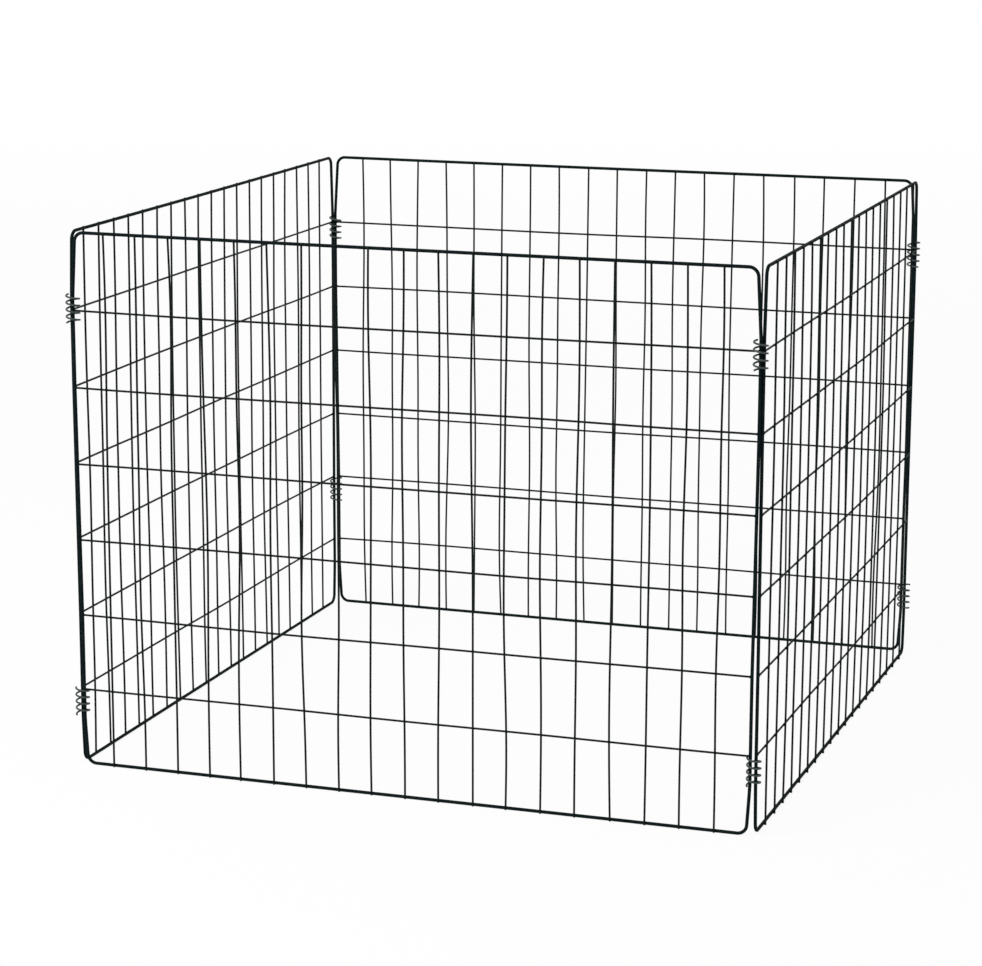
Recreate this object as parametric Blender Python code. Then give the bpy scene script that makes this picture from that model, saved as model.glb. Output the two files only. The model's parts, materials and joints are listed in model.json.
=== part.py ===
"""Open wire compost bin: four welded wire panels that stand in a square.

Each panel is a closed frame of thick wire with thin uprights welded across its face and
thin crosswires behind them. At every corner the posts of two panels stand side by side
inside two wire spirals, which hold the panels together and let the bin fold flat like a
parallelogram.

The front faces -Y and the ground is z = 0. Panels and corners are counted anticlockwise
from above: panel 0 is the front and corner 0 is where it meets the right panel.
"""

import math

import bmesh
import bpy
from mathutils import Matrix, Vector

# Driving dimensions, in metres
PANEL_WIDTH = 0.900
PANEL_HEIGHT = 0.700
FRAME_WIRE = 0.0044
BEND_RADIUS = 0.0120
POST_PARTING = 0.0025
POST_LEAN = 0.0050
FOOT_LEAN = 0.0035
MESH_WIRE = 0.0027
UPRIGHTS = 19
CROSSWIRES = 6
TIP_INSET = 0.0004
WELD_SINK = 0.0003
SPIRAL_WIRE = 0.0022
SPIRAL_PLAY = 0.00035
SPIRAL_PITCH = 0.0088
SPIRAL_TURNS = 4.1
STRETCH = 0.0011
STRETCHED_TURNS = 0.6
CONTACT_GAP = 0.0003

# Facets of the wires
FRAME_SIDES = 12
BEND_STEPS = 5
MESH_SIDES = 8
POINTS_PER_TURN = 10
SPIRAL_BEVEL_STEPS = 1
MERGE_DISTANCE = 0.00003
SMOOTH_ANGLE = math.radians(50)

# A panel's width and height run between the middles of its frame wires. The lowest flat
# of the frame's twelve-sided wire lies on the ground.
FRAME_RADIUS = FRAME_WIRE / 2
MESH_RADIUS = MESH_WIRE / 2
FRAME_APOTHEM = FRAME_RADIUS * math.cos(math.pi / FRAME_SIDES)
BOTTOM_WIRE_Z = FRAME_APOTHEM
TOP_WIRE_Z = BOTTOM_WIRE_Z + PANEL_HEIGHT
COLUMN_WIDTH = PANEL_WIDTH / (UPRIGHTS + 1)
ROW_HEIGHT = PANEL_HEIGHT / (CROSSWIRES + 1)

# The uprights lie on the frame's outer face and sink a little into it at their welds. The
# crosswires behind them lie within the frame's own thickness and butt against its posts.
UPRIGHT_OFFSET = FRAME_RADIUS + MESH_RADIUS - WELD_SINK
CROSSWIRE_OFFSET = UPRIGHT_OFFSET - 2 * MESH_RADIUS - CONTACT_GAP
UPRIGHT_LENGTH = PANEL_HEIGHT + 2 * FRAME_APOTHEM - 2 * TIP_INSET

# Two posts at a corner touch along a diagonal, so each panel's plane stands out from
# the ends of its neighbours by this step.
POST_STEP = (FRAME_WIRE + CONTACT_GAP) / math.sqrt(2)
PANEL_DISTANCE = PANEL_WIDTH / 2 + POST_STEP

# A spiral round one post clears the other one, at the middle of its facets too.
SPIRAL_REACH = math.hypot(POST_STEP, POST_STEP) + FRAME_RADIUS + SPIRAL_WIRE / 2 + SPIRAL_PLAY
SPIRAL_RADIUS = SPIRAL_REACH / math.cos(math.pi / POINTS_PER_TURN)

SIDES = ("front", "right", "back", "left")
FRONT, RIGHT, BACK, LEFT = range(len(SIDES))

# A corner's upper spiral holds on to the highest crosswire and its lower spiral to the one
# in the row given here, counted from the ground. Each has some turns above its crosswire.
CORNERS = ("front_right", "back_right", "back_left", "front_left")
LOWER_SPIRAL_ROWS = (1, 1, 2, 1)
UPPER_SPIRAL_TURNS = (1.14, 1.65, 0.72, 2.56)
LOWER_SPIRAL_TURNS = (0.05, 0.42, 0.05, 0.42)

# The posts stand together between a crosswire and some turns of the upper spirals.
PARTING_ROW = 5
LEAN_START_TURNS = 1.6


def clear_scene():
    """Remove whatever the open file holds."""
    for old in list(bpy.data.objects):
        bpy.data.objects.remove(old, do_unlink=True)


def coated_wire(name, colour, roughness):
    """A dark green plastic coat on steel wire."""
    material = bpy.data.materials.new(name)
    material.use_nodes = True
    shader = material.node_tree.nodes["Principled BSDF"]
    shader.inputs["Base Color"].default_value = (*colour, 1.0)
    shader.inputs["Roughness"].default_value = roughness
    shader.inputs["Metallic"].default_value = 0.0
    return material


def add_empty(name, location, parent=None):
    """Mark a body by an empty; a hinged body's stands on its fold axis."""
    empty = bpy.data.objects.new(name, None)
    bpy.context.scene.collection.objects.link(empty)
    empty.parent = parent
    empty.location = location - (parent.matrix_world.translation if parent else Vector())
    bpy.context.view_layer.update()
    return empty


def add_piece(name, data, material, body, location, turn):
    """Place one sub-part in the world by a point and a turn about Z, under its body."""
    piece = bpy.data.objects.new(name, data)
    bpy.context.scene.collection.objects.link(piece)
    if not data.materials:
        data.materials.append(material)
    piece.parent = body
    piece.location = location - body.matrix_world.translation
    piece.rotation_euler.z = turn
    return piece


def finish_mesh(bm, name):
    """Turn the faces outwards and shade the round sides smooth."""
    bmesh.ops.recalc_face_normals(bm, faces=bm.faces)
    mesh = bpy.data.meshes.new(name)
    bm.to_mesh(mesh)
    bm.free()
    mesh.shade_smooth()
    mesh.set_sharp_from_angle(angle=SMOOTH_ANGLE)
    return mesh


def crosswire_z(row):
    """Height of a crosswire; rows are counted from the ground."""
    return BOTTOM_WIRE_Z + row * ROW_HEIGHT


def foot_top():
    """Height just under the lowest spirals, from where the posts lean in down to the ground."""
    spiral_length = SPIRAL_PITCH * SPIRAL_TURNS + SPIRAL_WIRE
    return crosswire_z(min(LOWER_SPIRAL_ROWS)) - MESH_WIRE - spiral_length


def lean_start():
    """Height in the upper spirals from where the posts lean in up to the top wire."""
    return crosswire_z(CROSSWIRES) + SPIRAL_PITCH * LEAN_START_TURNS


def post_inset(z):
    """How far a post stands in from its panel's end at a height.

    The posts of two panels stand together from the upper spirals down to the parting row.
    Below it they part as far as the lower spirals, which hold them parted. Near the top, and
    in the foot below the lowest spirals, they lean in towards the panel's corners.
    """
    parting_start = crosswire_z(PARTING_ROW)
    parting_end = crosswire_z(max(LOWER_SPIRAL_ROWS))
    if z < foot_top():
        return POST_PARTING + FOOT_LEAN * (foot_top() - z) / (foot_top() - BOTTOM_WIRE_Z)
    if z <= parting_end:
        return POST_PARTING
    if z < parting_start:
        return POST_PARTING * (parting_start - z) / (parting_start - parting_end)
    return POST_LEAN * max(0.0, z - lean_start()) / (TOP_WIRE_Z - lean_start())


def loop_mesh():
    """One closed loop of wire: its section is spun round each bend and drawn along each side.

    The posts are then cut where they change direction and moved in there.
    """
    half_run = PANEL_WIDTH / 2 - BEND_RADIUS
    low_z = BOTTOM_WIRE_Z + BEND_RADIUS
    high_z = TOP_WIRE_Z - BEND_RADIUS
    bend_centres = (
        Vector((half_run, 0, low_z)),
        Vector((half_run, 0, high_z)),
        Vector((-half_run, 0, high_z)),
        Vector((-half_run, 0, low_z)),
    )
    bm = bmesh.new()
    flat_down = Matrix.Rotation(math.pi / FRAME_SIDES, 4, "Z")
    across_wire = Matrix.Rotation(math.pi / 2, 4, "Y")
    start = Matrix.Translation((half_run, 0, BOTTOM_WIRE_Z)) @ across_wire @ flat_down
    section = bmesh.ops.create_circle(
        bm, cap_ends=False, segments=FRAME_SIDES, radius=FRAME_RADIUS, matrix=start
    )
    ring = list({edge for vert in section["verts"] for edge in vert.link_edges})
    for index, centre in enumerate(bend_centres):
        verts = list({vert for edge in ring for vert in edge.verts})
        spun = bmesh.ops.spin(
            bm, geom=verts + ring, cent=centre, axis=(0, -1, 0),
            angle=math.pi / 2, steps=BEND_STEPS, use_duplicate=False,
        )
        ring = [item for item in spun["geom_last"] if isinstance(item, bmesh.types.BMEdge)]
        following = bend_centres[(index + 1) % len(bend_centres)]
        drawn = bmesh.ops.extrude_edge_only(bm, edges=ring)["geom"]
        ends = [item for item in drawn if isinstance(item, bmesh.types.BMVert)]
        bmesh.ops.translate(bm, verts=ends, vec=following - centre)
        ring = [
            item for item in drawn
            if isinstance(item, bmesh.types.BMEdge) and all(vert in ends for vert in item.verts)
        ]
    bmesh.ops.remove_doubles(bm, verts=bm.verts, dist=MERGE_DISTANCE)
    parting_end, parting_start = crosswire_z(max(LOWER_SPIRAL_ROWS)), crosswire_z(PARTING_ROW)
    for z in (foot_top(), parting_end, parting_start, lean_start()):
        everything = bm.verts[:] + bm.edges[:] + bm.faces[:]
        bmesh.ops.bisect_plane(bm, geom=everything, plane_co=(0, 0, z), plane_no=(0, 0, 1))
    for vert in bm.verts:
        vert.co.x -= math.copysign(post_inset(vert.co.z), vert.co.x)
    return finish_mesh(bm, "frame_loop")


def add_straight_wire(bm, length, matrix):
    """A straight length of mesh wire along the matrix's Z."""
    bmesh.ops.create_cone(
        bm, cap_ends=True, cap_tris=False, segments=MESH_SIDES,
        radius1=MESH_RADIUS, radius2=MESH_RADIUS, depth=length, matrix=matrix,
    )


def uprights_mesh():
    """The uprights of one panel, evenly spread between its posts."""
    bm = bmesh.new()
    middle_z = (BOTTOM_WIRE_Z + TOP_WIRE_Z) / 2
    for column in range(1, UPRIGHTS + 1):
        place = Vector((column * COLUMN_WIDTH - PANEL_WIDTH / 2, -UPRIGHT_OFFSET, middle_z))
        add_straight_wire(bm, UPRIGHT_LENGTH, Matrix.Translation(place))
    return finish_mesh(bm, "frame_uprights")


def welded_frame_mesh():
    """The loop with its uprights welded on, as one body."""
    loop = bpy.data.objects.new("loop", loop_mesh())
    uprights = bpy.data.objects.new("uprights", uprights_mesh())
    for helper in (loop, uprights):
        bpy.context.scene.collection.objects.link(helper)
    weld = loop.modifiers.new("weld", "BOOLEAN")
    weld.operation = "UNION"
    weld.solver = "EXACT"
    weld.object = uprights
    graph = bpy.context.evaluated_depsgraph_get()
    mesh = bpy.data.meshes.new_from_object(loop.evaluated_get(graph))
    mesh.name = "welded_frame"
    for helper in (loop, uprights):
        bpy.data.objects.remove(helper, do_unlink=True)
    return mesh


def crosswire_mesh(row):
    """The crosswire of one row, which reaches from post to post."""
    reach = PANEL_WIDTH / 2 - post_inset(crosswire_z(row)) - FRAME_RADIUS - CONTACT_GAP
    bm = bmesh.new()
    add_straight_wire(bm, 2 * reach, Matrix.Rotation(math.pi / 2, 4, "Y"))
    return finish_mesh(bm, f"crosswire_{row}")


def quarter_turns(count):
    """Rotation about the bin's upright middle by a number of right angles."""
    return Matrix.Rotation(count * math.pi / 2, 4, "Z")


def panel_end(panel, end, z=0.0):
    """A panel's end at a height, where its fold axis stands; end is -1 or 1."""
    return quarter_turns(panel) @ Vector((end * PANEL_WIDTH / 2, -PANEL_DISTANCE, z))


def spiral_middle(row):
    """Middle of a spiral from the end of the panel that carries it, at an even corner.

    Where the posts stand together the spiral is centred on its own one. Where they are parted
    it is centred between its own post and the farthest place that the other swings to.
    """
    parting = post_inset(crosswire_z(row))
    own_post = Vector((-parting, 0))
    if not parting:
        return own_post
    across = Vector((POST_STEP, POST_STEP)) - own_post
    return own_post + across.normalized() * (across.length + parting) / 2


def spiral_points(corner, row, turns_above):
    """Left-hand helix: z falls as the azimuth grows.

    At even corners the post ends its panel and the crosswire leaves it backwards. At odd
    corners the post starts the next panel and the crosswire leaves it forwards. An upper
    spiral rests on its crosswire at even corners and hooks under it at odd ones, and is
    stretched next to it, where the neighbour's crosswire swings between two turns. A lower
    spiral hooks under its crosswire and hangs below both.
    """
    even, upper = corner % 2 == 0, row == CROSSWIRES
    middle = spiral_middle(row)
    lean = math.asin((CROSSWIRE_OFFSET + middle.y) / SPIRAL_RADIUS)
    crossing = math.pi + lean if even else math.pi / 2 - lean
    middle_x, middle_y = middle if even else (-middle.y, -middle.x)
    seat = MESH_RADIUS + SPIRAL_WIRE / 2 + CONTACT_GAP
    seat_z = seat if even and upper else -seat
    stretch_start = -STRETCHED_TURNS if upper and not even else 0.0
    stretch_end = STRETCHED_TURNS if upper and even else 0.0
    points = []
    for step in range(round(SPIRAL_TURNS * POINTS_PER_TURN) + 1):
        turns = step / POINTS_PER_TURN - turns_above
        stretched = min(max(turns, stretch_start), stretch_end)
        azimuth = crossing + 2 * math.pi * turns
        points.append(Vector((
            middle_x + SPIRAL_RADIUS * math.cos(azimuth),
            middle_y + SPIRAL_RADIUS * math.sin(azimuth),
            seat_z - SPIRAL_PITCH * turns - STRETCH * stretched,
        )))
    return points


def least_gap(points):
    """Least distance between the surfaces of turns that lie over each other."""
    apart = POINTS_PER_TURN // 2
    return min(
        (points[later] - points[earlier]).length - SPIRAL_WIRE
        for earlier in range(len(points))
        for later in range(earlier + apart, len(points))
    )


def spiral_curve(name, points):
    """One unbroken tube of wire with filled ends."""
    curve = bpy.data.curves.new(name, "CURVE")
    curve.dimensions = "3D"
    curve.bevel_depth = SPIRAL_WIRE / 2
    curve.bevel_resolution = SPIRAL_BEVEL_STEPS
    curve.use_fill_caps = True
    spline = curve.splines.new("POLY")
    spline.points.add(len(points) - 1)
    for spline_point, point in zip(spline.points, points):
        spline_point.co = (*point, 1.0)
    return curve


def add_bodies():
    """The back panel is the root; each side folds about its own back end."""
    back = add_empty("back_panel", Vector())
    left = add_empty("left_fold", panel_end(LEFT, -1), back)
    right = add_empty("right_fold", panel_end(RIGHT, 1), back)
    front = add_empty("front_fold", panel_end(LEFT, 1), left)
    return {FRONT: front, RIGHT: right, BACK: back, LEFT: left}


def add_panels(bodies):
    """Four alike panels, each a welded frame and its crosswires."""
    frame_coat = coated_wire("frame_wire_coat", (0.016, 0.030, 0.024), 0.38)
    crosswire_coat = coated_wire("crosswire_coat", (0.020, 0.036, 0.029), 0.42)
    frame = welded_frame_mesh()
    rows = range(1, CROSSWIRES + 1)
    crosswires = [crosswire_mesh(row) for row in rows]
    for panel, side in enumerate(SIDES):
        body = bodies[panel]
        turn = panel * math.pi / 2
        place = quarter_turns(panel) @ Vector((0, -PANEL_DISTANCE, 0))
        add_piece(f"{side}_frame", frame, frame_coat, body, place, turn)
        for row, crosswire in zip(rows, crosswires):
            local = Vector((0, -PANEL_DISTANCE - CROSSWIRE_OFFSET, crosswire_z(row)))
            place = quarter_turns(panel) @ local
            name = f"{side}_crosswire_{row}"
            add_piece(name, crosswire, crosswire_coat, body, place, turn)


def add_spiral(name, corner, row, turns_above, material, bodies):
    """One spiral, carried by its corner's front or back panel."""
    if corner % 2 == 0:
        panel, end = corner, 1
    else:
        panel, end = (corner + 1) % len(SIDES), -1
    points = spiral_points(corner, row, turns_above)
    print(f"{name}: least gap between turns {least_gap(points) * 1000:.2f} mm")
    place = panel_end(panel, end, crosswire_z(row))
    curve = spiral_curve(name, points)
    add_piece(name, curve, material, bodies[panel], place, corner * math.pi / 2)


def add_spirals(bodies):
    """Two spirals at each corner."""
    coat = coated_wire("spiral_wire_coat", (0.030, 0.052, 0.043), 0.30)
    for corner, side in enumerate(CORNERS):
        upper, lower = f"spiral_{side}_upper", f"spiral_{side}_lower"
        row = LOWER_SPIRAL_ROWS[corner]
        add_spiral(upper, corner, CROSSWIRES, UPPER_SPIRAL_TURNS[corner], coat, bodies)
        add_spiral(lower, corner, row, LOWER_SPIRAL_TURNS[corner], coat, bodies)


def main():
    clear_scene()
    bodies = add_bodies()
    add_panels(bodies)
    add_spirals(bodies)


main()
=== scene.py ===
# %% [markdown]
# # A folding compost bin of welded wire
#
# The real bin is four alike wire panels that stand in a square, held together at the corners
# by wire spirals. Nothing on it is solid: all that the eye gets is line, and where two lines
# cross, touch or bend. So the lesson is about wire: how thick it is, how it bends, how it is
# welded and what its plastic coat looks like.
#
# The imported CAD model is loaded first. It is the fixed frame that every piece is built on.

# %% Load the frame
import json
import math
import random

import bmesh
import bpy
from mathutils import Matrix, Vector


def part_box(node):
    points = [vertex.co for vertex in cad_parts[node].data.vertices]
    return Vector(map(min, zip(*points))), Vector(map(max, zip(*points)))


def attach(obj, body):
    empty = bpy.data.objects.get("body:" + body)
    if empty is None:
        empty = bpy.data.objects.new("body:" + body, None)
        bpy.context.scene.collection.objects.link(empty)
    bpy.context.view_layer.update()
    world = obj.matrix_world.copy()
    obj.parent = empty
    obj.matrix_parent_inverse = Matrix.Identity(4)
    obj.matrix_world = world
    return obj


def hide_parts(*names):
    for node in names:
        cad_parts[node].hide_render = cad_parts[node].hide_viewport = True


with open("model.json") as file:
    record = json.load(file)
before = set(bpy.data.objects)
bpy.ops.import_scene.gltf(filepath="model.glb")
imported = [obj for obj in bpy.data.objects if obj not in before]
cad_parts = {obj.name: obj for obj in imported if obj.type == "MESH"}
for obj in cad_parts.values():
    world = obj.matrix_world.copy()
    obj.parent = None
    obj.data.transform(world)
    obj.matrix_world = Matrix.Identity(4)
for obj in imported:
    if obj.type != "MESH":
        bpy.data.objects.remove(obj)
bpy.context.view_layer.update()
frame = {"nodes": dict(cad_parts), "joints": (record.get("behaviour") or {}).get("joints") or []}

# %% [markdown]
# ## Measures
#
# A wire's thickness is a real size in metres, and it is written here. Places come from the
# frame: the fold joints give the corners of the square, and the crosswires' boxes give their
# heights. All panels are modelled where the front one stands and are turned to their side later.

# %% Measures of the wires and the panel
FRAME_WIRE = 0.0044
MESH_WIRE = 0.0027
SPIRAL_WIRE = 0.0022
SPIRAL_RADIUS = 0.0084
SPIRAL_PITCH = 0.0088
SPIRAL_TURNS = 4.1
BEND_RADIUS = 0.0120
COLUMNS = 20
CROSSWIRES = 6
WELD_SINK = 0.0003

# The right fold's axis runs down the right panel's back post. So it stands in that panel's
# plane, and half a panel's width from the middle.
SIDES = ("front", "right", "back", "left")
corner_post = Vector(next(j["pos_m"] for j in frame["joints"] if j["name"] == "right_fold"))
half_width = corner_post.y
panel_y = -corner_post.x
column_width = 2 * half_width / COLUMNS

row_boxes = [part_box(f"front_crosswire_{row}") for row in range(1, CROSSWIRES + 1)]
row_heights = [(low.z + high.z) / 2 for low, high in row_boxes]
row_height = row_heights[1] - row_heights[0]
bottom_z = row_heights[0] - row_height
top_z = row_heights[-1] + row_height

upright_y = panel_y - (FRAME_WIRE + MESH_WIRE) / 2 + WELD_SINK
crosswire_y = upright_y + MESH_WIRE - WELD_SINK
print("a cell in mm:", round(1000 * column_width, 1), "by", round(1000 * row_height, 1))

# %% [markdown]
# ## Working by hand in code
#
# An operator acts on whatever is selected, so each step starts by selecting one piece alone.
# In edit mode, points and edges are picked by a test of their place. These helpers are the
# scripted form of clicking on a piece, pressing Tab and drawing a selection box.


# %% Helpers for selecting
def only(piece):
    """Select one piece alone and make it active."""
    bpy.ops.object.select_all(action="DESELECT")
    piece.select_set(True)
    bpy.context.view_layer.objects.active = piece


def open_for_edit(piece, kind="VERT"):
    """Open one piece in edit mode with nothing selected."""
    only(piece)
    bpy.ops.object.mode_set(mode="EDIT")
    bpy.ops.mesh.select_mode(type=kind)
    bpy.ops.mesh.select_all(action="DESELECT")


def pick(piece, kind, test):
    """In edit mode, select the verts, edges or faces that pass a test."""
    bm = bmesh.from_edit_mesh(piece.data)
    for item in getattr(bm, kind):
        if test(item):
            item.select_set(True)
    bmesh.update_edit_mesh(piece.data)


def close_edit():
    """Leave edit mode."""
    bpy.ops.object.mode_set(mode="OBJECT")


def new_piece(name):
    """Name the object that an operator has just added."""
    piece = bpy.context.object
    piece.name = name
    piece.data.name = name
    return piece


def settle(piece):
    """Put a piece's place, turn and size into its mesh, so that its object is at the origin."""
    only(piece)
    bpy.ops.object.transform_apply(location=True, rotation=True, scale=True)


SMOOTH_ANGLE = math.radians(40)


def finish(piece):
    """Turn the faces outwards and shade the round sides smooth."""
    open_for_edit(piece)
    bpy.ops.mesh.select_all(action="SELECT")
    bpy.ops.mesh.normals_make_consistent(inside=False)
    close_edit()
    bpy.ops.object.shade_smooth_by_angle(angle=SMOOTH_ANGLE)


def own_copy(piece, name):
    """A copy with a mesh of its own."""
    twin = piece.copy()
    twin.data = piece.data.copy()
    twin.name = name
    twin.data.name = name
    bpy.context.scene.collection.objects.link(twin)
    return twin


print("edges below", round(math.degrees(SMOOTH_ANGLE)), "degrees are shaded smooth")

# %% [markdown]
# ## How wire bends
#
# Wire comes off a coil, is straightened between rollers and never gets quite straight. Welding
# and handling bend it again, so in a real panel no two wires run quite parallel. Such a bend is
# drawn as a sum of a few sine waves: long ones are large and short ones small. It is zero at
# both ends, so a bent wire still meets what it is welded to. A seed makes it the same each time.

# %% Draw a bend for every wire
UPRIGHT_BEND = 0.0027
CROSSWIRE_BEND = 0.0011
TIP_SCATTER = 0.0010
TOP_WIRE_SAG = 0.0008
LEAST_SAG = 0.5
WAVES = 5


def random_bend(rng, size):
    """A bend as a function of the share of the wire's length."""
    waves = [rng.uniform(-size, size) / (number + 1) for number in range(WAVES)]

    def bend(share):
        half_turn = math.pi * share
        return sum(wave * math.sin(half_turn * (number + 1)) for number, wave in enumerate(waves))

    return bend


def panel_bends(side):
    """The bends of one panel's uprights, crosswires and top wire."""
    rng = random.Random(f"{side} panel")
    uprights = []
    for column in range(1, COLUMNS):
        foot, head = (rng.uniform(-TIP_SCATTER, TIP_SCATTER) for tip in range(2))
        uprights.append((random_bend(rng, UPRIGHT_BEND), foot, head))
    crosswires = [random_bend(rng, CROSSWIRE_BEND) for height in row_heights]
    sag = rng.uniform(LEAST_SAG, 1.0) * TOP_WIRE_SAG
    return {"uprights": uprights, "crosswires": crosswires, "sag": sag}


bends = {side: panel_bends(side) for side in SIDES}
print("bent wires on a panel:", COLUMNS - 1 + CROSSWIRES + 1)

# %% [markdown]
# Everything on a panel is moved by the same four functions of its place, so a weld stays on its
# crossing and a wire's end on the frame. Besides the bends of its wires, the whole mesh of a
# panel bellies out a little, most in its middle.

# %% Bends as functions of a place
BULGE = {"front": 0.0012, "right": 0.0022, "back": 0.0012, "left": 0.0022}


def height_share(z):
    """How far up the panel a height is, from 0 to 1."""
    return (z - bottom_z) / (top_z - bottom_z)


def width_share(x):
    """How far along the panel a place is, from 0 to 1."""
    return (x + half_width) / (2 * half_width)


def sideways(side, column, z):
    """How far an upright is bent along the panel at a height; columns count from 0."""
    bend, foot, head = bends[side]["uprights"][column]
    share = height_share(z)
    return bend(share) + foot + (head - foot) * share


def upwards(side, row, x):
    """How far a crosswire is bent up at a place along the panel; rows count from 0."""
    return bends[side]["crosswires"][row](width_share(x))


def outwards(side, x, z):
    """How far the mesh bellies out."""
    return BULGE[side] * math.sin(math.pi * width_share(x)) * math.sin(math.pi * height_share(z))


def top_sag(side, x):
    """How far the top wire hangs at a place along the panel."""
    reach = half_width - 2 * BEND_RADIUS
    return bends[side]["sag"] * max(0.0, 1 - (x / reach) ** 2)


largest = max(
    abs(sideways(side, column, z))
    for side in SIDES for column in range(COLUMNS - 1) for z in row_heights
)
print("largest bend of an upright at a crossing:", round(1000 * largest, 2), "mm")

# %% [markdown]
# ## The frame of a panel
#
# The frame is one thick wire, bent to a rectangle with round corners and welded shut. The
# natural way to make it is the way it is made: a round section is drawn along the bottom, spun
# round a bend, drawn up the post, and so on back to the start. Sweeping a circle along a curve
# would do too, but spin and extrude keep each bend's rings evenly spread.
#
# The posts of two panels touch in the upper half of the bin. Below that they part a little, and
# each leans in towards its panel at the top corner and the foot. So where a post stands is a
# function of the height.

# %% Where the posts stand
POST_PARTING = 0.0025
PARTING_START_ROW, PARTING_END_ROW = 5, 2
POST_LEAN = 0.0050
FOOT_LEAN = 0.0035
LEAN_START_TURNS = 1.6
foot_top = row_heights[0] - MESH_WIRE - SPIRAL_WIRE - SPIRAL_PITCH * SPIRAL_TURNS
lean_start = row_heights[-1] + SPIRAL_PITCH * LEAN_START_TURNS


def post_inset(z):
    """How far a post stands in from the panel's end at a height."""
    parting_end = row_heights[PARTING_END_ROW - 1]
    parting_start = row_heights[PARTING_START_ROW - 1]
    if z < foot_top:
        return POST_PARTING + FOOT_LEAN * (foot_top - z) / (foot_top - bottom_z)
    if z <= parting_end:
        return POST_PARTING
    if z < parting_start:
        return POST_PARTING * (parting_start - z) / (parting_start - parting_end)
    return POST_LEAN * max(0.0, z - lean_start) / (top_z - lean_start)


inset_heights = (bottom_z, *row_heights, top_z)
print("inset of a post in mm:", [round(1000 * post_inset(z), 1) for z in inset_heights])

# %% [markdown]
# The CAD wire has twelve sides. This one has twenty and is as thick between its flats, so it
# stands on the ground and reaches just as high. A run of wire is drawn by extruding the
# selected ring from point to point, and a post in short steps, so that it can lean.

# %% Drawing a run of wire
CAD_LOOP_SIDES, LOOP_SIDES = 12, 20
POST_STEP_LENGTH = 0.0125
wire_flat = FRAME_WIRE / 2 * math.cos(math.pi / CAD_LOOP_SIDES)
loop_radius = wire_flat / math.cos(math.pi / LOOP_SIDES)


def draw_along(points):
    """Extrude the selected ring through points, each given relative to the one before."""
    for here, there in zip(points, points[1:]):
        bpy.ops.mesh.extrude_region_move(TRANSFORM_OT_translate={"value": there - here})


def post_points(end, upwards_run):
    """Middle of a post between its bends; end is 1 at the right and -1 at the left."""
    low, high = bottom_z + BEND_RADIUS, top_z - BEND_RADIUS
    steps = round((high - low) / POST_STEP_LENGTH)
    heights = [low + (high - low) * step / steps for step in range(steps + 1)]
    if not upwards_run:
        heights.reverse()
    return [Vector((end * (half_width - post_inset(z)), 0, z)) for z in heights]


print("rings on a post:", len(post_points(1, True)))

# %% [markdown]
# Each corner is a quarter turn of Spin about the middle of its bend, round an axis that runs
# across the panel. After the fourth run the wire is back at its start, and the doubled ring
# there is merged.

# %% Frame loop by spin and extrude
LOOP_BEND_STEPS = 10
TOP_WIRE_STEPS = 24
MERGE_DISTANCE = 0.00002


def make_loop():
    """The closed frame wire, where the front panel stands."""
    low_bend, high_bend = bottom_z + BEND_RADIUS, top_z - BEND_RADIUS
    low_run = half_width - BEND_RADIUS - post_inset(low_bend)
    high_run = half_width - BEND_RADIUS - post_inset(high_bend)
    quarter = math.pi / 2
    bpy.ops.object.select_all(action="DESELECT")
    bpy.ops.mesh.primitive_circle_add(
        vertices=LOOP_SIDES, radius=loop_radius,
        location=(low_run, panel_y, bottom_z), rotation=(0, quarter, 0),
    )
    loop = new_piece("loop_master")
    bpy.ops.object.transform_apply(location=True, rotation=True, scale=True)
    open_for_edit(loop)
    bpy.ops.mesh.select_all(action="SELECT")
    bpy.ops.transform.rotate(
        value=math.pi / LOOP_SIDES, orient_axis="X", center_override=(low_run, panel_y, bottom_z)
    )
    bend_middles = (
        Vector((low_run, panel_y, low_bend)),
        Vector((high_run, panel_y, high_bend)),
        Vector((-high_run, panel_y, high_bend)),
        Vector((-low_run, panel_y, low_bend)),
    )
    top_step = Vector((-2 * high_run / TOP_WIRE_STEPS, 0, 0))
    runs = (
        post_points(1, True),
        [step * top_step for step in range(TOP_WIRE_STEPS + 1)],
        post_points(-1, False),
        [Vector(), Vector((2 * low_run, 0, 0))],
    )
    for middle, points in zip(bend_middles, runs):
        bpy.ops.mesh.spin(
            steps=LOOP_BEND_STEPS, angle=quarter, center=middle, axis=(0, 1, 0),
            use_normal_flip=False,
        )
        draw_along(points)
    bpy.ops.mesh.select_all(action="SELECT")
    bpy.ops.mesh.remove_doubles(threshold=MERGE_DISTANCE)
    close_edit()
    finish(loop)
    return loop


loop_master = make_loop()
print("frame loop:", len(loop_master.data.polygons), "faces")

# %% [markdown]
# ## Uprights
#
# Nineteen thin wires lie across the outer face of the frame and are cut off level with it.
# One is modelled: a cylinder, with its cut ends bevelled because the plastic coat rounds them,
# and with rings along it so that it can bend. An Array modifier sets out the other eighteen.

# %% Shaping a straight wire
TIP_BEVEL = 0.0004
TIP_BEVEL_SEGMENTS = 2
FACES_ALONG = 0.9
LONG_EDGE_SHARE = 0.9


def edge_length(piece, edge):
    """Length of one of a piece's edges."""
    start, end = (piece.data.vertices[index].co for index in edge.vertices)
    return (end - start).length


def round_tips(piece, along):
    """Bevel the rims of a wire's two cut ends; along is the wire's axis, 0 for X and 2 for Z."""
    open_for_edit(piece, "FACE")
    pick(piece, "faces", lambda face: abs(face.normal[along]) > FACES_ALONG)
    bpy.ops.mesh.bevel(offset=TIP_BEVEL, segments=TIP_BEVEL_SEGMENTS, affect="EDGES")
    close_edit()


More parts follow.
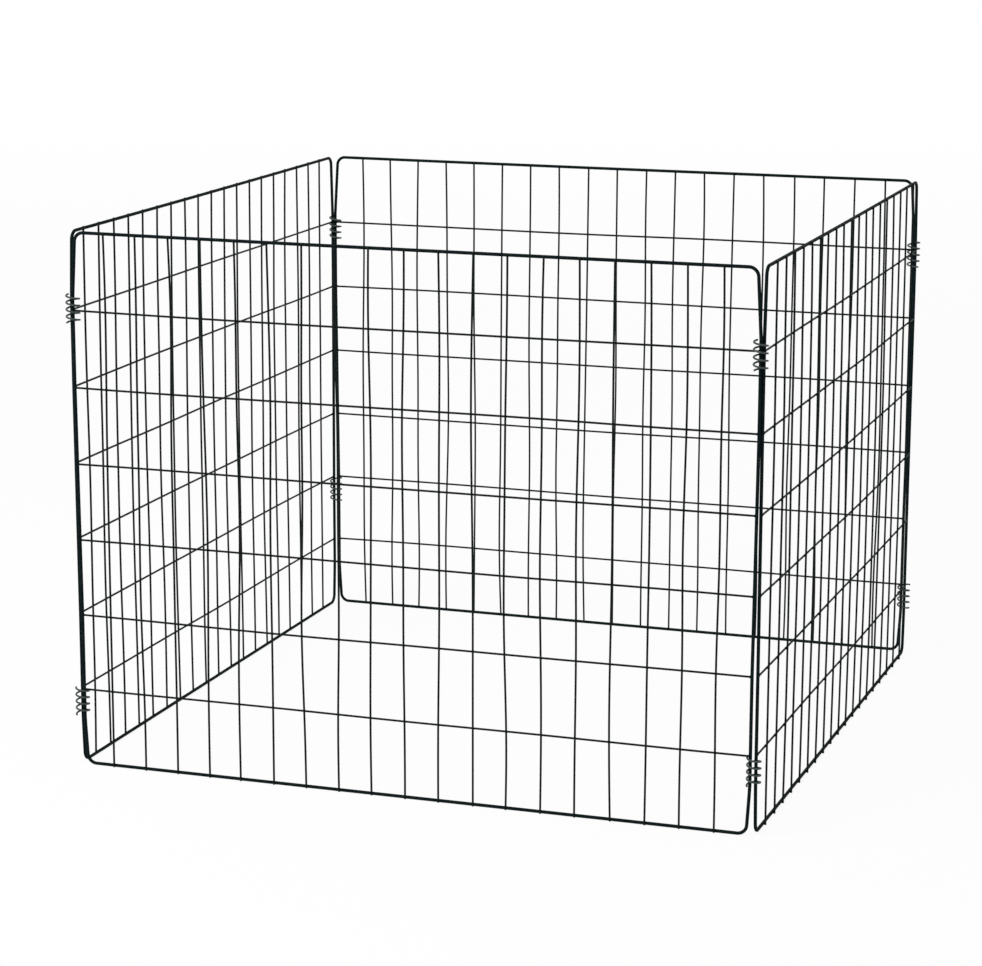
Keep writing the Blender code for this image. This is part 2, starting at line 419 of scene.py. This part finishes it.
def add_rings(piece, rings):
    """Cut a wire into equal lengths, so that it can bend."""
    longest = max(edge_length(piece, edge) for edge in piece.data.edges)
    open_for_edit(piece, "EDGE")
    pick(piece, "edges", lambda edge: edge.calc_length() > LONG_EDGE_SHARE * longest)
    bpy.ops.mesh.subdivide(number_cuts=rings)
    close_edit()


def repeat(piece, count, step):
    """Set out copies in a row with an Array modifier, which is then applied."""
    only(piece)
    modifier = piece.modifiers.new("row of copies", "ARRAY")
    modifier.count = count
    modifier.use_relative_offset = False
    modifier.use_constant_offset = True
    modifier.constant_offset_displace = step
    bpy.ops.object.modifier_apply(modifier=modifier.name)


print("a wire's rim is rounded by", 1000 * TIP_BEVEL, "mm")

# %% [markdown]
# The cut ends stand a hair inside the frame's top and bottom, as in the CAD. The rings are
# about 20 mm apart, close enough for the longest and the shortest wave of a bend.

# %% One upright and its array
MESH_SIDES = 12
WIRE_RINGS = 34
TIP_INSET = 0.0004


def make_uprights():
    """The nineteen uprights of a panel, still straight."""
    bpy.ops.object.select_all(action="DESELECT")
    bpy.ops.mesh.primitive_cylinder_add(
        vertices=MESH_SIDES, radius=MESH_WIRE / 2,
        depth=top_z - bottom_z + 2 * wire_flat - 2 * TIP_INSET,
        location=(column_width - half_width, upright_y, (bottom_z + top_z) / 2),
    )
    uprights = new_piece("uprights_master")
    settle(uprights)
    round_tips(uprights, 2)
    add_rings(uprights, WIRE_RINGS)
    repeat(uprights, COLUMNS - 1, (column_width, 0, 0))
    finish(uprights)
    return uprights


uprights_master = make_uprights()
print("uprights:", len(uprights_master.data.polygons), "faces")

# %% [markdown]
# ## Crosswires
#
# Six thin wires run behind the uprights from post to post. They differ a little in length,
# because the posts aren't quite straight, so each row's wire is made to its own length. Its
# ends sink a little into the posts, where the weld melts both.

# %% Six crosswires
CROSSWIRE_RINGS = 58


def make_crosswire(row):
    """The straight crosswire of a row."""
    z = row_heights[row]
    reach = half_width - post_inset(z) - FRAME_WIRE / 2 + WELD_SINK
    bpy.ops.object.select_all(action="DESELECT")
    bpy.ops.mesh.primitive_cylinder_add(
        vertices=MESH_SIDES, radius=MESH_WIRE / 2, depth=2 * reach,
        location=(0, crosswire_y, z), rotation=(0, math.pi / 2, 0),
    )
    wire = new_piece(f"crosswire_master_{row + 1}")
    settle(wire)
    add_rings(wire, CROSSWIRE_RINGS)
    finish(wire)
    return wire


crosswire_masters = [make_crosswire(row) for row in range(len(row_heights))]
print("a crosswire:", len(crosswire_masters[0].data.polygons), "faces")

# %% [markdown]
# ## Welds
#
# Where two wires cross they are pressed together while a current melts the touching steel. A
# small bulge of metal is left, and the coat gathers round it. A bead is a sphere with few
# faces, because there are hundreds, squeezed flat in edit mode. There are three kinds: at the
# crossings, at the uprights' tips on the top and bottom wires, and at the crosswires' ends on
# the posts. Array modifiers set out each kind.

# %% One bead
BEAD_SEGMENTS, BEAD_RINGS = 8, 5
CROSSING_BEAD = Vector((0.0017, 0.0011, 0.0017))
TIP_BEAD = Vector((0.0018, 0.0012, 0.0019))
POST_BEAD = Vector((0.0014, 0.0018, 0.0018))


def column_of(x):
    """Which upright a point belongs to."""
    return min(max(round((x + half_width) / column_width) - 1, 0), COLUMNS - 2)


def row_of(z):
    """Which crosswire a point belongs to."""
    return min(max(round((z - bottom_z) / row_height) - 1, 0), len(row_heights) - 1)


def make_bead(name, middle, half_size):
    """One flattened bead."""
    bpy.ops.object.select_all(action="DESELECT")
    bpy.ops.mesh.primitive_uv_sphere_add(
        segments=BEAD_SEGMENTS, ring_count=BEAD_RINGS, radius=1, location=middle
    )
    bead = new_piece(name)
    open_for_edit(bead)
    bpy.ops.mesh.select_all(action="SELECT")
    bpy.ops.transform.resize(value=half_size, center_override=middle)
    close_edit()
    settle(bead)
    return bead


print("a crossing's bead in mm:", [round(2000 * size, 1) for size in CROSSING_BEAD])

# %% [markdown]
# A row of each kind starts from one bead low at a side of the panel. The beads on the posts
# are then moved in, as far as the post stands in at their height.

# %% Rows of beads
first_x = column_width - half_width
contact_y = upright_y + (MESH_WIRE - WELD_SINK) / 2
crossing_beads = make_bead("crossing_beads", (first_x, contact_y, row_heights[0]), CROSSING_BEAD)
repeat(crossing_beads, COLUMNS - 1, (column_width, 0, 0))
repeat(crossing_beads, len(row_heights), (0, 0, row_height))
tip_y = panel_y - FRAME_WIRE / 2
tip_beads = make_bead("tip_beads", (first_x, tip_y, bottom_z), TIP_BEAD)
repeat(tip_beads, COLUMNS - 1, (column_width, 0, 0))
repeat(tip_beads, 2, (0, 0, top_z - bottom_z))
post_face_x = half_width - FRAME_WIRE / 2
post_beads = make_bead("post_beads", (post_face_x, crosswire_y, row_heights[0]), POST_BEAD)
repeat(post_beads, 2, (-2 * post_face_x, 0, 0))
repeat(post_beads, len(row_heights), (0, 0, row_height))
for vert in post_beads.data.vertices:
    vert.co.x -= math.copysign(post_inset(row_heights[row_of(vert.co.z)]), vert.co.x)
for beads in (crossing_beads, tip_beads, post_beads):
    finish(beads)
print("beads on a panel:", (COLUMNS - 1) * (len(row_heights) + 2) + 2 * len(row_heights))

# %% [markdown]
# ## Putting a panel together
#
# Each side gets its own copy of every piece. The copy is bent while it still stands at the
# front, where a bend is simply a move along X, Y or Z. A point of a bead or a wire first finds
# its column and row, so that a whole bead moves as one.

# %% Bending a panel's pieces
def bend_uprights(piece, side):
    """Bend each upright along the panel, belly it out and let it hang with the top wire."""
    for vert in piece.data.vertices:
        x, z = vert.co.x, vert.co.z
        vert.co.x += sideways(side, column_of(x), z)
        vert.co.y -= outwards(side, x, z)
        vert.co.z -= top_sag(side, x) * height_share(z)


def bend_crosswire(piece, side, row):
    """Bend a crosswire up and down and belly it out."""
    for vert in piece.data.vertices:
        x = vert.co.x
        vert.co.z += upwards(side, row, x)
        vert.co.y -= outwards(side, x, row_heights[row])


def bend_crossing_beads(piece, side):
    """Move each bead to where its two bent wires cross."""
    for vert in piece.data.vertices:
        column, row = column_of(vert.co.x), row_of(vert.co.z)
        x = (column + 1) * column_width - half_width
        vert.co.x += sideways(side, column, row_heights[row])
        vert.co.z += upwards(side, row, x)
        vert.co.y -= outwards(side, x, row_heights[row])


def bend_tip_beads(piece, side):
    """Move each bead to the tip of its upright."""
    for vert in piece.data.vertices:
        column, at_top = column_of(vert.co.x), vert.co.z > row_heights[-1]
        x = (column + 1) * column_width - half_width
        vert.co.x += sideways(side, column, top_z if at_top else bottom_z)
        vert.co.z -= top_sag(side, x) if at_top else 0.0


def sag_loop(piece, side):
    """Let the top wire hang a little between its ends."""
    for vert in piece.data.vertices:
        if vert.co.z > top_z - FRAME_WIRE:
            vert.co.z -= top_sag(side, vert.co.x)


print("top wire hangs by at most", round(1000 * max(b["sag"] for b in bends.values()), 1), "mm")

# %% [markdown]
# The bent copy is turned about the middle of the bin to its side. Every piece rides on its
# panel's body and stands for its CAD node, which is hidden. The masters have done their work
# then and are removed.

# %% Place the four panels
pieces = {}


def put_on_panel(piece, side, slot, *nodes):
    """Turn a piece to its side and tie it to its body and CAD nodes. The argument slot is not used.
    """
    piece.rotation_euler.z = SIDES.index(side) * math.pi / 2
    settle(piece)
    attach(piece, f"{side}_panel")
    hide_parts(*nodes)
    pieces[piece.name] = piece


for side in SIDES:
    loop = own_copy(loop_master, f"{side}_frame_loop")
    sag_loop(loop, side)
    put_on_panel(loop, side, "frame_wire", f"{side}_frame")
    uprights = own_copy(uprights_master, f"{side}_uprights")
    bend_uprights(uprights, side)
    put_on_panel(uprights, side, "crosswire", f"{side}_frame")
    for row, master in enumerate(crosswire_masters):
        wire = own_copy(master, f"{side}_cross_{row + 1}")
        bend_crosswire(wire, side, row)
        put_on_panel(wire, side, "crosswire", f"{side}_crosswire_{row + 1}")
    crossings = own_copy(crossing_beads, f"{side}_crossing_welds")
    bend_crossing_beads(crossings, side)
    put_on_panel(crossings, side, "crosswire", f"{side}_frame")
    tips = own_copy(tip_beads, f"{side}_tip_welds")
    bend_tip_beads(tips, side)
    put_on_panel(tips, side, "crosswire", f"{side}_frame")
    ends = own_copy(post_beads, f"{side}_post_welds")
    put_on_panel(ends, side, "crosswire", f"{side}_frame")

masters = (loop_master, uprights_master, crossing_beads, tip_beads, post_beads, *crosswire_masters)
for master in masters:
    bpy.data.objects.remove(master)
print("panel pieces:", len(pieces))

# %% [markdown]
# ## Spirals
#
# Each spiral is a short open spring of about four turns, screwed over the posts of two panels.
# It rests on or hooks under a crosswire, so it can't slide down. A Screw modifier winds it: a
# circle beside the axis is turned and lowered at a steady rate. All eight are wound left-hand.
# The ends are cut square, so they are capped and their rims bevelled. The coat is thick on this
# small wire: it adds 0.15 mm all round to the CAD's wire, and there is still air between it
# and the crosswire that carries it.

# %% One spiral by the Screw modifier
SPIRAL_SIDES = 12
SPIRAL_STEPS_PER_TURN = 30
SPIRAL_COAT = 0.00015


def make_spiral():
    """A spiral about the world's Z, from azimuth 0 at the top downwards."""
    bpy.ops.object.select_all(action="DESELECT")
    bpy.ops.mesh.primitive_circle_add(
        vertices=SPIRAL_SIDES, radius=SPIRAL_WIRE / 2 + SPIRAL_COAT,
        location=(SPIRAL_RADIUS, 0, 0), rotation=(math.pi / 2, 0, 0),
    )
    spiral = new_piece("spiral_master")
    settle(spiral)
    winding = spiral.modifiers.new("winding", "SCREW")
    winding.axis = "Z"
    winding.angle = 2 * math.pi * SPIRAL_TURNS
    winding.screw_offset = -SPIRAL_PITCH * SPIRAL_TURNS
    winding.steps = winding.render_steps = round(SPIRAL_STEPS_PER_TURN * SPIRAL_TURNS)
    bpy.ops.object.modifier_apply(modifier=winding.name)
    open_for_edit(spiral, "EDGE")
    bpy.ops.mesh.select_non_manifold()
    bpy.ops.mesh.fill_holes(sides=0)
    bpy.ops.mesh.select_all(action="DESELECT")
    bpy.ops.mesh.select_mode(type="FACE")
    pick(spiral, "faces", lambda face: len(face.verts) == SPIRAL_SIDES)
    bpy.ops.mesh.bevel(offset=TIP_BEVEL, segments=TIP_BEVEL_SEGMENTS, affect="EDGES")
    close_edit()
    finish(spiral)
    return spiral


spiral_master = make_spiral()
print("a spiral:", len(spiral_master.data.polygons), "faces")

# %% [markdown]
# Where a spiral sits follows from the crosswire that holds it. At the top it rests on the
# crosswire at the front right and back left corners and hooks under it at the other two; at
# the bottom all hang under their crosswires. The turns above the crosswire differ, because
# each spiral was screwed on by hand. An upper spiral is stretched a little beside its
# crosswire, where the other panel's swings through it. In the lower half of the bin the posts
# stand apart, and there the spiral is centred between them.

# %% A spiral wound by hand
STRETCH = 0.0011
STRETCHED_TURNS = 0.6
UNEVEN_WINDING = 0.00015
UNEVEN_WAVES_PER_TURN = 0.85

# A crosswire stands out a little from its panel's plane, and the next panel's plane lies one
# step beyond this panel's end.
crosswire_offset = panel_y - (row_boxes[0][0].y + row_boxes[0][1].y) / 2
post_step = -panel_y - half_width


def spiral_middle(row):
    """Middle of a spiral from the end of its panel, at the front right and back left corners."""
    parting = post_inset(row_heights[row - 1])
    own_post = Vector((-parting, 0))
    if not parting:
        return own_post
    across = Vector((post_step, post_step)) - own_post
    return own_post + across.normalized() * (across.length + parting) / 2


def turns_down(point):
    """How many turns below a spiral's top a point of its wire is."""
    azimuth = math.atan2(point.y, point.x) / (2 * math.pi)
    return azimuth + round(-point.z / SPIRAL_PITCH - azimuth)


def wind_by_hand(spiral, turns_above, stretch_start, stretch_end):
    """Stretch a spiral beside its crosswire and make its winding a little uneven."""
    phase = random.Random(spiral.name).uniform(0, 2 * math.pi)
    for vert in spiral.data.vertices:
        turns = turns_down(vert.co)
        stretched = min(max(turns - turns_above, stretch_start), stretch_end)
        wave = math.sin(2 * math.pi * UNEVEN_WAVES_PER_TURN * turns + phase)
        vert.co.z += UNEVEN_WINDING * wave - STRETCH * stretched


lower_middle = [round(1000 * size, 1) for size in spiral_middle(1)]
print("middle of a lower spiral from its panel's end in mm:", lower_middle)

# %% [markdown]
# A spiral's wire has to be just above or below its crosswire where it crosses it. So the coil
# is turned until its crossing point lies there, and lifted by the turns that are above it.
# The four corners are quarter turns of one another. At the back right and front left the panel
# that carries the spiral starts at the corner instead of ending there, which mirrors the plan.

# %% Place the eight spirals
CONTACT_GAP = 0.0003
CORNERS = ("front_right", "back_right", "back_left", "front_left")
UPPER_TURNS = (1.14, 1.65, 0.72, 2.56)
LOWER_TURNS = (0.05, 0.42, 0.05, 0.42)
LOWER_ROWS = (1, 1, 2, 1)


def place_spiral(corner, level, row, turns_above):
    """One spiral, carried by its corner's front or back panel."""
    even, upper = corner % 2 == 0, level == "upper"
    middle = spiral_middle(row)
    # The coil meets its crosswire at the azimuth called crossing, which is off the panel's own
    # line by aside.
    aside = math.asin((crosswire_offset + middle.y) / SPIRAL_RADIUS)
    crossing = math.pi + aside if even else math.pi / 2 - aside
    middle_x, middle_y = middle if even else (-middle.y, -middle.x)
    seat = (MESH_WIRE + SPIRAL_WIRE) / 2 + CONTACT_GAP
    seat_z = seat if even and upper else -seat
    back, right = "back" in CORNERS[corner], "right" in CORNERS[corner]
    end_x = half_width if right else -half_width
    end_y = -panel_y if back else panel_y
    turn = corner * math.pi / 2
    name = f"spiral_{CORNERS[corner]}_{level}"
    spiral = own_copy(spiral_master, f"{name}_coil")
    stretch_start = -STRETCHED_TURNS if upper and not even else 0.0
    stretch_end = STRETCHED_TURNS if upper and even else 0.0
    wind_by_hand(spiral, turns_above, stretch_start, stretch_end)
    spiral.rotation_euler.z = crossing - 2 * math.pi * turns_above + turn
    top = Vector((end_x, end_y, row_heights[row - 1] + seat_z + SPIRAL_PITCH * turns_above))
    spiral.location = top + Matrix.Rotation(turn, 3, "Z") @ Vector((middle_x, middle_y, 0))
    settle(spiral)
    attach(spiral, "back_panel" if back else "front_panel")
    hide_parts(name)
    pieces[spiral.name] = spiral


for corner in range(len(CORNERS)):
    place_spiral(corner, "upper", len(row_heights), UPPER_TURNS[corner])
    place_spiral(corner, "lower", LOWER_ROWS[corner], LOWER_TURNS[corner])
bpy.data.objects.remove(spiral_master)
print("pieces in all:", len(pieces))

# %% [markdown]
# ## Colours and nodes
#
# Colours are written as sRGB hex values, as a paint card or a picture gives them, and one
# function turns them into the linear values that shaders use. One more adds a node, sets it
# and links it.

# %% Colour and node helpers
def linear(hex_colour):
    """Linear RGBA of an sRGB hex colour."""
    channels = [int(hex_colour[i:i + 2], 16) / 255 for i in (0, 2, 4)]
    return (*(c / 12.92 if c <= 0.04045 else ((c + 0.055) / 1.055) ** 2.4 for c in channels), 1.0)


def add_node(tree, kind, values=None, links=None, **settings):
    """Add one node, set its properties and input values, and link outputs to its inputs."""
    node = tree.nodes.new(kind)
    for name, value in settings.items():
        setattr(node, name, value)
    for name, value in (values or {}).items():
        node.inputs[name].default_value = value
    for name, source in (links or {}).items():
        tree.links.new(source, node.inputs[name])
    return node


print("a middle grey of 808080 is", round(linear("808080")[0], 3), "in linear light")

# %% [markdown]
# ## Plastic-coated steel wire
#
# The wire is mild steel, drawn and welded, and then coated in dark green PVC or polyester
# powder. The coat is thin, smooth and a little glossy. Up close it has an orange-peel skin from
# its curing, its colour clouds slightly, and fine dust sticks to it in patches and dulls it. The
# steel never shows, so the shader is a dielectric and not a metal, and its IOR stays at 1.5,
# close to that of PVC. Noise is sized in millimetres: the clouds are 40 mm long, the dust
# patches 9 mm and the peel 1.5 mm, which is coarser than a real coat's peel so that it shows
# at all.

# %% The coat
CLOUD_SIZE, CLOUD_DETAIL = 0.040, 3.0
DUST_SIZE, DUST_DETAIL = 0.009, 5.0
PEEL_SIZE, PEEL_DETAIL = 0.0015, 1.0
PEEL_DEPTH, PEEL_STRENGTH = 0.00004, 0.6
DUST_START, DUST_FULL = 0.50, 0.72
DUST_ROUGHNESS = 0.35
FACTOR, COLOUR_A, COLOUR_B, COLOUR_OUT = 0, 6, 7, 2


def coated_wire(name, deep, pale, dust, dust_share, roughness, specular):
    """Coated wire: two greens that cloud into each other, dust in patches and a fine peel."""
    material = bpy.data.materials.new(name)
    material.use_nodes = True
    tree = material.node_tree
    shader = tree.nodes["Principled BSDF"]
    shader.inputs["Specular IOR Level"].default_value = specular
    object_place = add_node(tree, "ShaderNodeTexCoord").outputs["Object"]
    grains = ((CLOUD_SIZE, CLOUD_DETAIL), (DUST_SIZE, DUST_DETAIL), (PEEL_SIZE, PEEL_DETAIL))
    clouds, patches, peel = (
        add_node(
            tree, "ShaderNodeTexNoise", {"Scale": 1 / size, "Detail": detail},
            {"Vector": object_place},
        ).outputs[0]
        for size, detail in grains
    )
    green = add_node(
        tree, "ShaderNodeMix", {COLOUR_A: linear(deep), COLOUR_B: linear(pale)},
        {FACTOR: clouds}, data_type="RGBA",
    ).outputs[COLOUR_OUT]
    dusty = add_node(
        tree, "ShaderNodeMapRange",
        {"From Min": DUST_START, "From Max": DUST_FULL, "To Min": 0.0, "To Max": dust_share},
        {"Value": patches},
    ).outputs[0]
    colour = add_node(
        tree, "ShaderNodeMix", {COLOUR_B: linear(dust)},
        {FACTOR: dusty, COLOUR_A: green}, data_type="RGBA",
    ).outputs[COLOUR_OUT]
    dusty_roughness = roughness + DUST_ROUGHNESS
    gloss = add_node(
        tree, "ShaderNodeMapRange",
        {"From Min": 0.0, "From Max": 1.0, "To Min": roughness, "To Max": dusty_roughness},
        {"Value": dusty},
    ).outputs[0]
    skin = add_node(
        tree, "ShaderNodeBump", {"Distance": PEEL_DEPTH, "Strength": PEEL_STRENGTH},
        {"Height": peel},
    ).outputs[0]
    for socket, source in (("Base Color", colour), ("Roughness", gloss), ("Normal", skin)):
        tree.links.new(source, shader.inputs[socket])
    return material


print("clouds, dust and peel in mm:", [1000 * size for size in (CLOUD_SIZE, DUST_SIZE, PEEL_SIZE)])

# %% [markdown]
# One recipe gives three coats. A round wire always shows the eye a strip of its side at a
# glancing angle, where any surface mirrors most. On wires this thin the strip would turn the
# dark coat pale against the white surround, so the frame and the mesh mirror very little. The
# spirals catch the lamp on every turn, and their coat is glossier. Its base colour is paler
# than the frame's as painted highlight: it stands in for the lamp's sheen on each turn.

# %% Three coats
frame_coat = coated_wire(
    "green_pvc_coat_on_frame_wire", deep="081012", pale="0f1c1e", dust="2a2f2b",
    dust_share=0.3, roughness=0.55, specular=0.02,
)
mesh_coat = coated_wire(
    "green_pvc_coat_on_mesh_wire", deep="050c0c", pale="0c1817", dust="2b302c",
    dust_share=0.3, roughness=0.45, specular=0.06,
)
# The spiral coat's paler greens are painted highlight, standing in for the lamp's sheen on each
# turn.
spiral_coat_painted_highlight = coated_wire(
    "green_pvc_coat_on_spiral_wire", deep="2e3835", pale="404c48", dust="555a54",
    dust_share=0.4, roughness=0.34, specular=0.20,
)
print("coats:", [coat.name for coat in (frame_coat, mesh_coat, spiral_coat_painted_highlight)])

# %% [markdown]
# Every piece now gets its coat. The hidden CAD nodes get it too, so that nothing in the model
# is left bare.

# %% Dress the pieces
def dress(piece, material):
    """Give a piece one material."""
    piece.data.materials.clear()
    piece.data.materials.append(material)


def coat_for(name):
    """The coat of a piece or a CAD node, by its name."""
    if name.startswith("spiral"):
        return spiral_coat_painted_highlight
    return frame_coat if "frame" in name else mesh_coat


for name, piece in (*pieces.items(), *frame["nodes"].items()):
    dress(piece, coat_for(name))
print("dressed:", len(pieces) + len(frame["nodes"]))

# %% [markdown]
# ## Floor and light
#
# The bin stands on a plain white floor under soft studio light. Thin dark wires need an even
# surround more than a strong lamp: one broad lamp from the upper left gives each wire a faint
# line of light, and the world fills in the rest. The world looks white to the camera and in
# reflections, but lights the bin with only about half that strength.

# %% White world
WORLD_LIGHT = 0.55


def seen_or_reflected(tree):
    """1 for a camera, glossy or transmission ray and 0 for the rays that light the object."""
    path = add_node(tree, "ShaderNodeLightPath").outputs
    seen_or_glossy = add_node(
        tree, "ShaderNodeMath", links={0: path["Is Camera Ray"], 1: path["Is Glossy Ray"]},
        operation="ADD", use_clamp=True,
    ).outputs[0]
    return add_node(
        tree, "ShaderNodeMath", links={0: seen_or_glossy, 1: path["Is Transmission Ray"]},
        operation="ADD", use_clamp=True,
    ).outputs[0]


world = bpy.data.worlds.new("white_studio")
world.use_nodes = True
bpy.context.scene.world = world
tree = world.node_tree
background = tree.nodes["Background"]
background.inputs["Color"].default_value = linear("ffffff")
strength = add_node(
    tree, "ShaderNodeMapRange", {"To Min": WORLD_LIGHT, "To Max": 1.0},
    {"Value": seen_or_reflected(tree)},
).outputs[0]
tree.links.new(strength, background.inputs["Strength"])
print("nodes in the world:", len(tree.nodes))

# %% [markdown]
# The floor looks white in the same way. Near the bin a tenth of its brightness is real light on
# paint, so that it still takes the bin's shadow. Between 1.5 and 8 m from the middle this share
# fades out, and no horizon shows.

# %% White floor
FLOOR_SIZE = 80
FLOOR_GLOW = 0.9
FLOOR_ROUGHNESS, FLOOR_SPECULAR = 0.9, 0.1
SHADOW_FLOOR, WHITE_FLOOR = 1.5, 8.0
bpy.ops.object.select_all(action="DESELECT")
bpy.ops.mesh.primitive_plane_add(size=FLOOR_SIZE, location=(0, 0, 0))
floor = new_piece("studio_floor")
settle(floor)
floor_paint = bpy.data.materials.new("matt_white_floor_paint")
floor_paint.use_nodes = True
tree = floor_paint.node_tree
paint = tree.nodes["Principled BSDF"]
paint.inputs["Base Color"].default_value = linear("f4f4f2")
paint.inputs["Roughness"].default_value = FLOOR_ROUGHNESS
paint.inputs["Specular IOR Level"].default_value = FLOOR_SPECULAR
glow = add_node(tree, "ShaderNodeEmission", {"Color": linear("ffffff"), "Strength": 1.0}).outputs[0]
object_place = add_node(tree, "ShaderNodeTexCoord").outputs["Object"]
distance = add_node(
    tree, "ShaderNodeVectorMath", links={0: object_place}, operation="LENGTH"
).outputs["Value"]
glow_share = add_node(
    tree, "ShaderNodeMapRange",
    {"From Min": SHADOW_FLOOR, "From Max": WHITE_FLOOR, "To Min": FLOOR_GLOW, "To Max": 1.0},
    {"Value": distance},
).outputs[0]
share = add_node(
    tree, "ShaderNodeMath", links={0: seen_or_reflected(tree), 1: glow_share}, operation="MULTIPLY"
).outputs[0]
surface = add_node(
    tree, "ShaderNodeMixShader", links={0: share, 1: paint.outputs[0], 2: glow}
).outputs[0]
tree.links.new(surface, tree.nodes["Material Output"].inputs["Surface"])
dress(floor, floor_paint)
print("nodes in the floor paint:", len(tree.nodes))

# %% [markdown]
# The lamp is a square of 4 m, high up to the left of the camera, and it is aimed at the middle
# of the bin. So large a lamp throws only a soft, faint shadow.

# %% One broad lamp
LAMP_POWER = 260
LAMP_SIZE = 4.0
LAMP_PLACE = Vector((-2.6, -3.4, 4.4))
lamp_data = bpy.data.lights.new("softbox", "AREA")
lamp_data.energy = LAMP_POWER
lamp_data.size = LAMP_SIZE
lamp = bpy.data.objects.new("softbox", lamp_data)
lamp.location = LAMP_PLACE
lamp_aim = Vector((0, 0, top_z / 2)) - LAMP_PLACE
lamp.rotation_euler = lamp_aim.to_track_quat("-Z", "Y").to_euler()
bpy.context.scene.collection.objects.link(lamp)
print("lamp", round(lamp_aim.length, 1), "m away")

# %% [markdown]
# ## Camera
#
# The photograph was taken from the front, a little to the right and from above, through a long
# lens. The numbers come from fitting a pinhole camera to the panel corners and spirals. The
# angles give the camera's three axes: away from the bin, to its right and up.

# %% Camera
AZIMUTH = math.radians(18.813)
ELEVATION = math.radians(12.289)
ROLL = math.radians(0.149)
CAMERA_PLACE = Vector((1.3373, -4.0472, 1.2451))
LENS, SENSOR_WIDTH = 115.84, 36.0
CLIP_END = 200

away = Vector((
    math.sin(AZIMUTH) * math.cos(ELEVATION),
    -math.cos(AZIMUTH) * math.cos(ELEVATION),
    math.sin(ELEVATION),
))
level_right = Vector((math.cos(AZIMUTH), math.sin(AZIMUTH), 0))
level_up = away.cross(level_right)
right = math.cos(ROLL) * level_right + math.sin(ROLL) * level_up
up = math.cos(ROLL) * level_up - math.sin(ROLL) * level_right
camera_data = bpy.data.cameras.new("camera")
camera_data.lens = LENS
camera_data.sensor_width = SENSOR_WIDTH
camera_data.clip_end = CLIP_END
camera = bpy.data.objects.new("camera", camera_data)
camera_turn = Matrix((right, up, away)).transposed().to_4x4()
camera.matrix_world = Matrix.Translation(CAMERA_PLACE) @ camera_turn
bpy.context.scene.collection.objects.link(camera)
bpy.context.scene.camera = camera
bpy.context.scene.view_settings.view_transform = "Standard"
print("camera to bin:", round(CAMERA_PLACE.length, 2), "m")
